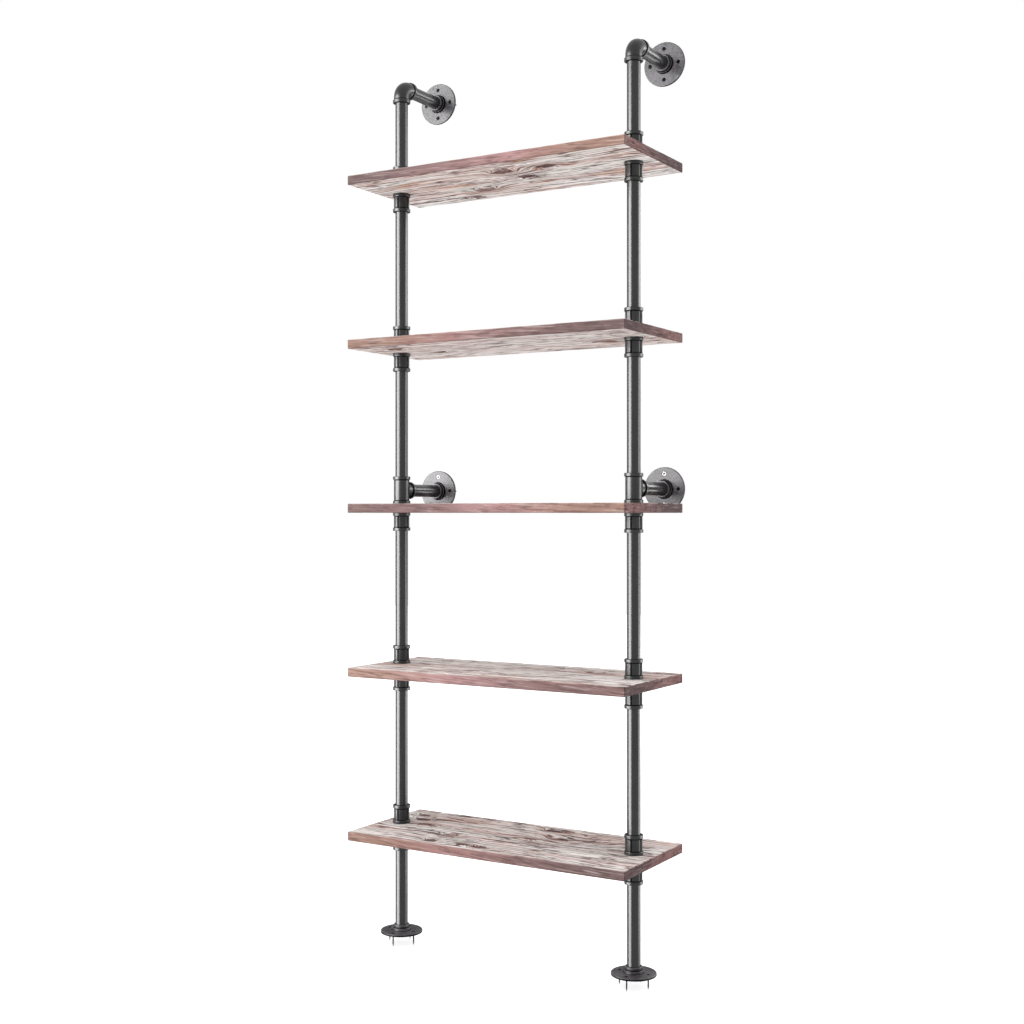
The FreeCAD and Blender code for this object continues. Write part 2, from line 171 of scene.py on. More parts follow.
def ironMaterial(name, paint):
    # satin paint: fine grain, slow waves in the film, rubbed patches, painted shade that keeps creases and
    # corners dull and dark, and a painted glint where a piece carries one
    material, tree = newTree(name)
    position = put(tree, "TexCoord").outputs["Object"]
    bend = put(tree, "NewGeometry").outputs["Pointiness"]
    grime = put(tree, "Attribute", attribute_name="grime").outputs["Fac"]
    # painted shade: concave creases found by pointiness and the shade map a piece carries, times the paint's
    # share
    hollow = times(tree, calc(tree, "MAXIMUM", spread(tree, bend, 0.497, 0.468), grime), paint["crevice"])
    worn = spread(tree, bend, 0.51, 0.6)
    grain = noise(tree, position, paint["grain"], 3.0, 0.6)
    speck = noise(tree, position, paint["grain"] * 2.3, 1.0, 0.5)
    wave = noise(tree, position, 70, 2.0, 0.5)
    patch = noise(tree, position, 26, 4.0, 0.62, 0.4)
    speckle = times(tree, spread(tree, grain, 0.42, 0.66), spread(tree, speck, 0.4, 0.62))
    lightness = plus(tree, times(tree, speckle, 0.55), times(tree, spread(tree, patch, 0.35, 0.68), 0.45))
    lightness = plus(tree, lightness, times(tree, worn, 0.5), clamp=True)
    colour = blend(tree, lightness, paint["dark"], paint["pale"])
    colour = blend(tree, hollow, colour, shadeAndGlint["hollow"])
    bare = put(tree, "Attribute", attribute_name="bare").outputs["Fac"]
    # painted highlight: near white where a piece carries the glint
    colour = blend(tree, bare, colour, shadeAndGlint["zinc"])
    roughness = spread(tree, plus(tree, patch, times(tree, speckle, 0.2)), 0.35, 0.8, *paint["rough"])
    roughness = plus(tree, roughness, times(tree, hollow, 0.3))
    # metallic with a near black colour takes the shine out of the painted shade
    metal = calc(tree, "MAXIMUM", hollow, times(tree, bare, shadeAndGlint["zincMetal"]))
    shader = put(tree, "BsdfPrincipled", {"Base Color": colour, "Roughness": roughness, "Metallic": metal,
                                          "Specular IOR Level": paint["gloss"]})
    height = plus(tree, grain, times(tree, wave, paint["waveDepth"] / paint["grainDepth"]))
    finishMaterial(tree, shader, height, paint["grainDepth"])
    return material


pipeIron = ironMaterial("pipeIron", pipePaint)
castIron = ironMaterial("castIron", castPaint)
plateIron = ironMaterial("plateIron", plateLitPaint)
screwSteel = ironMaterial("screwSteel", screwPaint)
print("iron finishes made")


# Mesh helpers. A sheet is a grid of points, rows by columns by 3, whose neighbours make four-sided faces.

def joined(index, closeRows, closeColumns):
    if closeRows:
        index = np.vstack([index, index[:1]])
    if closeColumns:
        index = np.hstack([index, index[:, :1]])
    return index


def sheet(points, closeRows=False, closeColumns=False):
    # face (i, j) joins points (i, j), (i, j + 1), (i + 1, j + 1) and (i + 1, j)
    rows, columns = points.shape[:2]
    index = joined(np.arange(rows * columns).reshape(rows, columns), closeRows, closeColumns)
    faces = np.stack([index[:-1, :-1], index[:-1, 1:], index[1:, 1:], index[1:, :-1]], axis=-1)
    return points.reshape(-1, 3), faces.reshape(-1, 4)


def placed(part, place, turn="up"):
    # moves a part; "toWall" lays its own +Z along +Y and "fromWall" along -Y
    points, faces = part
    x, y, z = points[:, 0], points[:, 1], points[:, 2]
    turned = {"up": (x, y, z), "toWall": (x, z, -y), "fromWall": (x, -z, y)}[turn]
    return np.stack(turned, axis=-1) + np.array(place), faces


def addPiece(node, parts, material, sharpAngle=40, shadeAt=None, glintAt=None):
    # joins the parts into one closed mesh in place of a CAD node; shadeAt gives each point's share of painted
    # shade and glintAt its share of painted glint
    starts = np.cumsum([0] + [len(points) for points, faces in parts])
    points = np.vstack([part[0] for part in parts])
    faces = np.vstack([part[1] + start for part, start in zip(parts, starts)])
    words = node.split("_")
    name = words[0] + "".join(word.capitalize() for word in words[1:])
    mesh = bpy.data.meshes.new(name)
    mesh.from_pydata(points.tolist(), [], faces.tolist(), shade_flat=False)
    work = bmesh.new()
    work.from_mesh(mesh)
    bmesh.ops.remove_doubles(work, verts=work.verts, dist=2e-6)
    bmesh.ops.recalc_face_normals(work, faces=work.faces)
    work.to_mesh(mesh)
    work.free()
    spots = np.empty(len(mesh.vertices) * 3, dtype=np.float32)
    mesh.vertices.foreach_get("co", spots)
    for mark, shareAt in (("grime", shadeAt), ("bare", glintAt)):
        if shareAt:
            share = shareAt(*spots.reshape(-1, 3).T).astype(np.float32)
            mesh.attributes.new(mark, "FLOAT", "POINT").data.foreach_set("value", share)
    mesh.set_sharp_from_angle(angle=math.radians(sharpAngle))
    mesh.materials.append(material)
    piece = bpy.data.objects.new(name, mesh)
    bpy.context.scene.collection.objects.link(piece)
    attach(piece, "root")
    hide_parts(node)
    return piece


def unit(vectors):
    return vectors / np.linalg.norm(vectors, axis=-1, keepdims=True)


def outline(corners, closed=False, steps=6, support=0.12 * mm):
    # corners (r, z, rounding) as one line of points. The arc at a corner turns about the point on the
    # bisector at rounding / sin(half angle), between tangent points at rounding / tan(half angle).
    table = np.array(corners, float)
    corner, radius = table[:, :2], table[:, 2:]
    toLast = unit(np.roll(corner, 1, axis=0) - corner)
    toNext = unit(np.roll(corner, -1, axis=0) - corner)
    half = np.arccos(np.clip((toLast * toNext).sum(1, keepdims=True), -1, 1)) / 2
    centre = corner + unit(toLast + toNext) * radius / np.sin(half)
    start = corner + toLast * radius / np.tan(half)
    end = corner + toNext * radius / np.tan(half)
    sweep = (np.pi - 2 * half)[:, None]
    share = np.linspace(0, 1, steps)[None, :, None]
    arc = centre[:, None] + ((start - centre)[:, None] * np.sin((1 - share) * sweep)
                             + (end - centre)[:, None] * np.sin(share * sweep)) / np.sin(sweep)
    before, after = start + toLast * support, end + toNext * support
    line = np.concatenate([before[:, None], arc, after[:, None]], axis=1).reshape(-1, 2)
    return line if closed else line[steps:-steps]


def circled(radius, angles, height):
    # circles about the Z axis: x = r cos a, y = r sin a, z = height
    return np.stack([radius * np.cos(angles), radius * np.sin(angles), height + 0 * angles], axis=-1)


def turned(line, angles):
    # an outline (r, z) taken round the Z axis
    return circled(line[:, :1], angles, line[:, 1:])


def spun(points, angle):
    # points turned about the Z axis
    return points @ np.array(Matrix.Rotation(angle, 3, "Z")).T


def roundAngles(count):
    return np.arange(count) * 2 * np.pi / count


def roundField(across, up):
    # once round a rectangular field of lines across and up: its lower, right, upper and left edge in turn
    right, left = np.full(len(up) - 2, across[-1]), np.full(len(up) - 2, across[0])
    lower, upper = np.full(len(across), up[0]), np.full(len(across), up[-1])
    return (np.concatenate([across, right, across[::-1], left]),
            np.concatenate([lower, up[1:-1], upper, up[-2:0:-1]]))


def about(place, shareAt):
    # a share that is worked out from a piece's own place
    return lambda x, y, z: shareAt(x - place[0], y - place[1], z - place[2])


def mirrored(line, length):
    # the far end of a fitting: the same outline counted back from the other mouth
    return np.stack([line[::-1, 0], length - line[::-1, 1]], axis=-1)


# Pipes

pipe = {"outer": 13.35 * mm, "inner": 10.45 * mm, "endBreak": 0.8 * mm, "boreBreak": 0.3 * mm, "columns": 96}


def pipeTube(length):
    # the closed outline of the wall, its edges broken, taken round the axis
    line = outline([(pipe["outer"], 0, pipe["endBreak"]), (pipe["outer"], length, pipe["endBreak"]),
                    (pipe["inner"], length, pipe["boreBreak"]), (pipe["inner"], 0, pipe["boreBreak"])],
                   closed=True)
    return sheet(turned(line, roundAngles(pipe["columns"])), closeRows=True, closeColumns=True)


for node in sorted(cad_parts):
    if not node.endswith("_pipe") and "_pipe_shelf_" not in node:
        continue
    low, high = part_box(node)
    middle = (low + high) / 2
    if node.endswith("_wall_pipe"):
        part = placed(pipeTube(high.y - low.y), (middle.x, low.y, middle.z), "toWall")
    else:
        part = placed(pipeTube(high.z - low.z), (middle.x, middle.y, low.z))
    addPiece(node, [part], pipeIron)
print("pipes made")


# Fittings: couplings, tees and elbows share the banded mouth

mouth = {"socket": 13.45 * mm, "socketDepth": 15.5 * mm, "leadIn": 1.25 * mm, "barrel": 16.5 * mm,
         "band": 18.6 * mm, "bandHeight": 7 * mm, "bandRound": 1.15 * mm, "neckRound": 0.85 * mm,
         "end": 9.2 * mm}


def mouthLine(neck):
    # from the bottom of the socket out over the band to the neck; z counts in from the mouth
    lip = mouth["socket"] + mouth["leadIn"]
    return outline([(0, mouth["socketDepth"], 0), (mouth["socket"], mouth["socketDepth"], 0),
                    (mouth["socket"], mouth["leadIn"], 0.1 * mm), (lip, 0, 0.25 * mm),
                    (mouth["band"], 0, mouth["bandRound"]),
                    (mouth["band"], mouth["bandHeight"], mouth["bandRound"]),
                    (neck, mouth["bandHeight"], mouth["neckRound"]), (neck, mouth["end"], 0)])


def smooth(value):
    value = np.clip(value, 0, 1)
    return value * value * (3 - 2 * value)


def mouthShade(radius, inward):
    # painted shade: 1 in the socket and in the corner behind the band, 0 from the end of the mouth on; inward
    # counts from the mouth and radius from its axis
    corner = (inward > mouth["bandHeight"] - 0.05 * mm) * (radius > mouth["socket"] + 0.5 * mm)
    corner = corner * 0.9 * smooth((mouth["end"] - inward) / (mouth["end"] - mouth["bandHeight"] - 0.9 * mm))
    socket = (radius < mouth["socket"] + mouth["leadIn"] + 0.1 * mm) & (inward < mouth["socketDepth"] + mm)
    return np.maximum(corner, socket * 1.0)


coupling = {"length": 39 * mm, "ribWidth": 3.8 * mm, "ribStep": 1.7 * mm, "ribSlope": 0.9 * mm,
            "ribReach": 15 * mm, "plainFrom": 0.22}    # plainFrom is an angle from a rib's middle line


def couplingBody():
    # a banded barrel whose radius swells by ribStep where the distance to a rib's middle line is small
    barrel = mouth["barrel"]
    lower = mouthLine(barrel)
    line = np.vstack([lower, mirrored(lower, coupling["length"])])
    ribSide = np.array([0, 0.8, 1.5, 1.8, 2.05, 2.3, 2.55, 2.9, 3.4])    # mm from a rib's middle line
    nearRib = np.concatenate([-ribSide[:0:-1], ribSide])
    between = np.linspace(coupling["plainFrom"], np.pi / 2 - coupling["plainFrom"], 16)
    quarter = np.concatenate([nearRib * mm / barrel, between])
    angles = np.sort(np.concatenate([quarter + k * np.pi / 2 for k in range(4)]))
    radius, height = line[:, :1], line[:, 1:]
    aside = barrel * np.abs(np.sin(2 * angles)) / 2
    swell = smooth((coupling["ribWidth"] / 2 + coupling["ribSlope"] / 2 - aside) / coupling["ribSlope"])
    inReach = np.abs(height - coupling["length"] / 2) < coupling["ribReach"]
    outside = (radius > barrel - 0.01 * mm) & inReach
    radius = np.where(outside, np.maximum(radius, barrel + coupling["ribStep"] * swell), radius)
    return sheet(circled(radius, angles, height), closeColumns=True)


def couplingShade(x, y, z):
    # painted shade behind both bands, and in a strip 1.8 mm wide along each foot of the ribs, thin in every
    # other quarter, where less shade falls
    radius = np.hypot(x, y)
    swing = np.sin(2 * np.arctan2(y, x))
    foot = smooth((1.4 * mm - np.abs(radius * np.abs(swing) / 2 - 3.0 * mm)) / (0.9 * mm))
    foot = foot * (radius < mouth["barrel"] + 0.6 * mm) * np.where(swing < 0, 0.9, 0.2)
    return np.maximum(mouthShade(radius, np.minimum(z, coupling["length"] - z)), foot)


for node in sorted(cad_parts):
    if "_coupling_" in node:
        low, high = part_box(node)
        place = ((low.x + high.x) / 2, (low.y + high.y) / 2, low.z)
        addPiece(node, [placed(couplingBody(), place)], castIron, 60,
                 about(place, couplingShade))
print("couplings made")


elbow = {"reach": 33 * mm, "bend": 21 * mm, "columns": 96, "rows": 44}


def elbowBody():
    # an outline (r, s) swept along the centre line: a leg up, a quarter circle and a leg back to the wall.
    # Point = centre(s) + r (cos a, sin a cos t, -sin a sin t), where t is how far the line has turned.
    leg, arcLength = elbow["reach"] - elbow["bend"], elbow["bend"] * np.pi / 2
    length = 2 * leg + arcLength
    lower = mouthLine(mouth["barrel"])
    middle = np.linspace(mouth["end"], length - mouth["end"], elbow["rows"])[1:-1]
    middle = np.stack([np.full_like(middle, mouth["barrel"]), middle], axis=-1)
    line = np.vstack([lower, middle, mirrored(lower, length)])
    radius, along = line[:, :1], line[:, 1:]
    turnSoFar = np.clip((along - leg) / elbow["bend"], 0, np.pi / 2)
    past = np.maximum(along - leg - arcLength, 0)
    centreY = elbow["bend"] * (1 - np.cos(turnSoFar)) + past
    centreZ = -elbow["reach"] + np.minimum(along, leg) + elbow["bend"] * np.sin(turnSoFar)
    angles = roundAngles(elbow["columns"])
    points = np.stack([radius * np.cos(angles),
                       centreY + radius * np.sin(angles) * np.cos(turnSoFar),
                       centreZ - radius * np.sin(angles) * np.sin(turnSoFar)], axis=-1)
    return sheet(points, closeColumns=True)


tee = {"reach": 29.5 * mm, "branch": 15.8 * mm, "crotch": 3.0 * mm, "frontAngle": math.radians(105),
       "frontColumns": 40, "rearPoints": 38, "sideRows": 24}


def teeBody():
    # the run stands along Z and the branch points to +Y: barrel point = (run sin a, run cos a, height)
    run, branch, reach = mouth["barrel"], tee["branch"], tee["reach"]
    flat = reach - mouth["end"]    # half height of the plain barrel between the two mouths
    front = np.linspace(-tee["frontAngle"], tee["frontAngle"], tee["frontColumns"] + 1)
    back = np.linspace(tee["frontAngle"], 2 * np.pi - tee["frontAngle"], tee["rearPoints"])
    around = np.concatenate([front, back[1:-1]])
    rows = np.linspace(-flat, flat, tee["sideRows"] + 1)

    def wrapped(angle, height, radius=run):
        # angle 0 faces the branch, which points to +Y
        return np.stack(np.broadcast_arrays(radius * np.sin(angle), radius * np.cos(angle), height), axis=-1)

    line = mouthLine(run)
    lower = wrapped(around[None, :], -reach + line[:, 1:], line[:, :1])
    upper = wrapped(around[None, :], reach - line[:, 1:], line[:, :1])
    rear = wrapped(back[None, :], rows[:, None])
    # the patch round the branch: rays from the crossing of the axes to the edge of the front field
    edgeAngle, edgeRow = roundField(front, rows)
    edge = np.stack([edgeAngle * run, edgeRow], axis=-1)

    def crossingAt(turn):
        # where the branch meets the barrel, unrolled: (run arcsin(branch cos t / run), branch sin t)
        return np.stack([run * np.arcsin(branch * np.cos(turn) / run), branch * np.sin(turn)], axis=-1)

    turn = np.linspace(-np.pi, np.pi, 4001)
    curve = crossingAt(turn)
    heading = np.arctan2(edge[:, 1], edge[:, 0])
    turnAt = np.interp(heading, np.arctan2(curve[:, 1], curve[:, 0]), turn)
    crossing = crossingAt(turnAt)
    foot = crossing * (1 + tee["crotch"] / np.linalg.norm(crossing, axis=-1, keepdims=True))
    share = np.linspace(1, 0, 9)[:, None, None]
    field = foot * (1 - share) + edge * share
    fieldPoints = wrapped(field[..., 0] / run, field[..., 1])
    # the crotch: a quadratic curve from the barrel over the crossing line to the branch
    corner = wrapped(crossing[:, 0] / run, crossing[:, 1])
    footPoints = wrapped(foot[:, 0] / run, foot[:, 1])
    head = corner + np.array([0, tee["crotch"], 0])
    share = np.linspace(0, 1, 9)[1:, None, None]
    crotch = (1 - share) ** 2 * footPoints + 2 * share * (1 - share) * corner + share ** 2 * head

    def roundBranch(radius, out):
        return np.stack([radius * np.cos(turnAt), out + 0 * turnAt, radius * np.sin(turnAt)], axis=-1)

    share = np.linspace(0, 1, 5)[1:, None, None]
    neck = (1 - share) * head + share * roundBranch(branch, flat)
    branchLine = mouthLine(branch)[::-1]
    branchMouth = roundBranch(branchLine[:, :1], reach - branchLine[:, 1:])
    patch = np.concatenate([fieldPoints, crotch, neck, branchMouth[1:]])
    return [sheet(lower, closeColumns=True), sheet(upper, closeColumns=True), sheet(rear),
            sheet(patch, closeColumns=True)]


def elbowShade(x, y, z):
    # painted shade behind both bands of the elbow
    lower = mouthShade(np.hypot(x, y), z + elbow["reach"])
    back = mouthShade(np.hypot(x, z), elbow["reach"] - y)
    return np.maximum(lower, back)


def teeShade(x, y, z):
    # painted shade behind the three bands and in the crotch, where both the height over the barrel and the
    # distance out from the branch are small
    run = mouthShade(np.hypot(x, y), tee["reach"] - np.abs(z))
    over = y - np.sqrt(np.maximum(mouth["barrel"] ** 2 - x * x, 0))
    out = np.hypot(x, z) - tee["branch"]
    branch = np.where(y > mouth["barrel"] + mm, mouthShade(np.hypot(x, z), tee["reach"] - y), 0)
    crotch = (y > 0) * smooth((3.6 * mm - over) / (2.4 * mm)) * smooth((3.6 * mm - np.abs(out)) / (2 * mm))
    return np.maximum(np.maximum(run, branch), crotch * 0.8)


for side in ("left", "right"):
    node = side + "_top_elbow"
    low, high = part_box(node)
    place = ((low.x + high.x) / 2, high.y - elbow["reach"], low.z + elbow["reach"])
    addPiece(node, [placed(elbowBody(), place)], castIron, 60, about(place, elbowShade))
    node = side + "_tee_above_shelf_3"
    low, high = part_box(node)
    place = ((low.x + high.x) / 2, high.y - tee["reach"], (low.z + high.z) / 2)
    addPiece(node, [placed(part, place) for part in teeBody()], castIron, 60,
             about(place, teeShade))
print("elbows and tees made")


# Flanges and their screws, both up from the flange's back face

flange = {"rim": 44.5 * mm, "plate": 4.5 * mm, "plateRound": 1.4 * mm, "foot": 18.5 * mm, "ledge": 10 * mm,
          "neck": 16.5 * mm, "height": 17 * mm, "hubRound": 1.2 * mm, "hubFillet": 1.6 * mm,
          "mouthRound": 0.5 * mm, "leadIn": 0.5 * mm, "edgeBreak": 0.4 * mm, "hole": 3.1 * mm,
          "sink": 4.3 * mm, "holeCircle": 31 * mm, "columns": 24, "rings": 10,
          "dullFloor": 6.4 * mm, "dullWall": 9.8 * mm}    # how high the painted shade covers the foot of the hub
frontField = (20.6 * mm, 42.6 * mm)    # radii between which the front and back faces are plain
backField = (16 * mm, 43.6 * mm)


def holedFace(field, height, holeRadius):
    # a quarter of a plate's face round its screw hole. Rays run from the hole's circle to the edge of the
    # quarter, straight in polar coordinates (angle, radius).
    angle = np.linspace(-np.pi / 4, np.pi / 4, flange["columns"] + 1)
    radius = np.linspace(*field, flange["rings"] + 1)
    edgeAngle, edgeRadius = roundField(angle, radius)
    reach = flange["holeCircle"]
    heading = np.arctan2(edgeRadius - reach, edgeAngle * reach)
    ring = np.stack([reach + holeRadius * np.sin(heading), holeRadius * np.cos(heading)], axis=-1)
    ringAngle, ringRadius = np.arctan2(ring[:, 1], ring[:, 0]), np.linalg.norm(ring, axis=-1)
    share = np.linspace(0, 1, 9)[:, None] ** 1.4
    mapAngle = (1 - share) * ringAngle + share * edgeAngle
    mapRadius = (1 - share) * ringRadius + share * edgeRadius
    return circled(mapRadius, mapAngle, height), heading


def holeWall(heading):
    # the countersunk hole: circles of radius r at height z about the hole's axis
    sink, hole, plate = flange["sink"], flange["hole"], flange["plate"]
    step = np.array([(sink, plate), (sink - 0.1 * mm, plate - 0.1 * mm),
                     (hole + 0.1 * mm, plate - sink + hole + 0.1 * mm),
                     (hole, plate - sink + hole - 0.2 * mm), (hole, 0.2 * mm), (hole, 0)])
    radius, height = step[:, :1], step[:, 1:]
    return np.stack([flange["holeCircle"] + radius * np.sin(heading), radius * np.cos(heading),
                     height + 0 * heading], axis=-1)


def flangeBody():
    # a hub and a rim taken round the axis, and between them four quarters of both faces with their holes
    plate, ledge, top = flange["plate"], flange["ledge"], flange["height"]
    foot, neck, socket, leadIn = flange["foot"], flange["neck"], mouth["socket"], flange["leadIn"]
    edgeBreak = flange["edgeBreak"]
    angles = roundAngles(4 * flange["columns"]) - np.pi / 4
    hub = outline([(frontField[0], plate, 0), (foot, plate, flange["hubFillet"]),
                   (foot, ledge, flange["hubRound"]), (neck, ledge, edgeBreak),
                   (neck, top, flange["mouthRound"]), (socket + leadIn, top, 0.2 * mm),
                   (socket, top - leadIn, 0.1 * mm), (socket, 0, edgeBreak), (backField[0], 0, 0)])
    rim = outline([(backField[1], 0, 0), (flange["rim"], 0, edgeBreak),
                   (flange["rim"], plate, flange["plateRound"]), (frontField[1], plate, 0)])
    parts = [sheet(turned(hub, angles), closeColumns=True), sheet(turned(rim, angles), closeColumns=True)]
    front, frontHeading = holedFace(frontField, flange["plate"], flange["sink"])
    back, backHeading = holedFace(backField, 0, flange["hole"])
    wall = holeWall(frontHeading)
    # the back face's rays meet the hole's foot at the wall's own points
    back[0] = wall[-1]
    for quarter in range(4):
        turn = quarter * math.pi / 2
        parts += [sheet(spun(face, turn), closeColumns=True) for face in (front, back, wall)]
    return parts


screw = {"head": 3.9 * mm, "headTop": 4.15 * mm, "shank": 1.75 * mm, "core": 1.2 * mm, "reach": 24.5 * mm,
         "point": 6 * mm, "tip": 0.3 * mm, "pitch": 1.7 * mm, "crossLong": 2.2 * mm, "crossSlim": 0.55 * mm,
         "crossDepth": 1.5 * mm, "bareFrom": 3.9 * mm, "darkMiddle": 2.4 * mm}


def screwBody():
    # a shank whose radius follows a helical ridge: core + (shank - core) ridge(z / pitch - a / turn). Two of
    # a quarter's angles, in degrees, are the cross's corners: arctan(crossSlim / crossLong) from its arms.
    quarter = np.array([0, 7, 14.036, 19, 26, 35, 45, 55, 64, 71, 75.964, 83])
    angles = np.radians(np.concatenate([quarter + 90 * k for k in range(4)]))
    height = np.arange(-screw["reach"], screw["headTop"] - screw["head"] + screw["shank"], 0.2 * mm)[:, None]
    phase = (height / screw["pitch"] - angles / (2 * np.pi)) % 1
    ridge = smooth(1 - np.abs(phase - 0.5) / 0.3)
    full = np.clip((height + screw["reach"]) / screw["point"], 0, 1)
    outer = screw["tip"] + (screw["shank"] - screw["tip"]) * full
    fade = smooth(height / (2 * mm))    # the thread dies out in the plate, under the head
    radius = outer * (1 - (1 - screw["core"] / screw["shank"]) * (1 - ridge) * (1 - fade))
    shank = circled(radius, angles, height)
    tip = np.zeros((1, len(angles), 3))
    tip[..., 2] = -screw["reach"]
    top, head, deep = screw["headTop"], screw["head"], screw["crossDepth"]
    cone = turned(np.array([(screw["shank"], top - head + screw["shank"]),
                            (head - 0.12 * mm, top - 0.12 * mm), (head - 0.02 * mm, top - 0.06 * mm),
                            (head - 0.2 * mm, top), (head - 0.6 * mm, top)]), angles)
    folded = np.abs((angles + np.pi / 4) % (np.pi / 2) - np.pi / 4)
    acrossArm = screw["crossSlim"] / np.maximum(np.sin(folded), 1e-6)
    star = np.minimum(screw["crossLong"] / np.cos(folded), acrossArm)
    # the recess as shares of the cross and their depths
    levels = np.array([(1.04, 0), (1.0, 0.05 * mm), (0.86, 0.7 * deep), (0.5, deep), (0, deep)])
    cross = circled(levels[:, :1] * star, angles, top - levels[:, 1:])
    return sheet(np.concatenate([tip, shank, cone, cross]), closeColumns=True)


def fourRound(part, reach, twists):
    # four copies at +X, +Y, -X and -Y, each turned about its own axis as a driver left it
    points, faces = part
    copies = []
    for quarter, twist in enumerate(twists):
        out = spun(points, twist) + np.array([reach, 0, 0])
        copies.append((spun(out, quarter * math.pi / 2), faces))
    return copies


def flangeShade(radius, height, footTop):
    # painted shade round the foot of the hub up to footTop, on its ledge, in its socket and on the wall of
    # the plate's rim
    foot = smooth((flange["foot"] + 2.6 * mm - radius) / (1.8 * mm)) * smooth((footTop - height) / (1.8 * mm))
    ledge = (radius < flange["foot"] - 0.5 * mm) * smooth((2 * mm - np.abs(height - 10.4 * mm)) / (1.8 * mm))
    rim = smooth((radius - flange["rim"] + 0.5 * mm) / (0.4 * mm)) * smooth((3.9 * mm - height) / (0.8 * mm))
    socket = radius < mouth["socket"] + 0.9 * flange["leadIn"]
    return np.maximum(np.maximum(foot, ledge), np.maximum(rim * 0.95, socket * 1.0))


def floorShade(x, y, z):
    return flangeShade(np.hypot(x, y), z, flange["dullFloor"])


def wallShade(x, y, z):
    return flangeShade(np.hypot(x, z), -y, flange["dullWall"])


def glintHeads(x, y, z):
    # painted highlight: a near white glint on the heads of the upper and the lower screw, but not on the
    # middle of the heads
    fromScrew = np.hypot(x, np.abs(z) - flange["holeCircle"])
    return (np.abs(z) > 20 * mm) & (-y > screw["bareFrom"]) & (fromScrew > screw["darkMiddle"])


flangeSeats = {"floor": "up", "mid_wall": "fromWall", "top_wall": "fromWall"}
dice = np.random.default_rng(7)

for side in ("left", "right"):
    for seat, turn in flangeSeats.items():
        node = f"{side}_{seat}_flange"
        low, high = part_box(node)
        middle = (low + high) / 2
        back = (middle.x, middle.y, low.z) if turn == "up" else (middle.x, high.y, middle.z)
        flangeShadeAt = about(back, floorShade if turn == "up" else wallShade)
        addPiece(node, [placed(part, back, turn) for part in flangeBody()], plateIron, 50,
                 flangeShadeAt)
        screws = fourRound(screwBody(), flange["holeCircle"], dice.uniform(0, np.pi / 2, 4))
        # the screws of the mid wall flanges carry a painted glint
        glintAt = about(back, glintHeads) if seat == "mid_wall" else None
        addPiece(f"{side}_{seat}_screws", [placed(part, back, turn) for part in screws], screwSteel,
                 35, None, glintAt)
print("flanges and screws made")


# Boards

board = {"length": 640 * mm, "depth": 260 * mm, "thick": 19 * mm, "edgeRound": 1.3 * mm, "cell": 5 * mm,
         "uprightX": 275 * mm, "window": 30 * mm, "hole": 13.75 * mm, "seat": 19 * mm, "seatDepth": 0.5 * mm,
         "boreFrom": 5 * mm, "wear": 0.45 * mm, "wearWaves": (0.083, 0.047, 0.029, 0.019),
         "relief": 0.12 * mm, "reliefWaves": (0.31, 0.17, 0.11, 0.07), "fadeEnds": 0.02, "fadeSides": 0.012}


def gridLines(stops):
    # lines between stops, about one cell apart
    spans = []
    for a, b in zip(stops, stops[1:]):
        cells = max(int(round((b - a) / board["cell"])), 1)
        spans.append(np.linspace(a, b, cells + 1)[:-1])
    return np.concatenate(spans + [[stops[-1]]])


def ripple(x, y, seed, waves):
    # slow unevenness: a sum of sine waves of set lengths with seeded headings and phases, about -1 to 1
    roll = np.random.default_rng(seed)
    total = 0
    for length in waves:
        heading, phase = roll.uniform(0, np.pi), roll.uniform(0, 2 * np.pi)
        total = total + np.sin((x * np.cos(heading) + y * np.sin(heading)) * 2 * np.pi / length + phase)
    return total / len(waves)


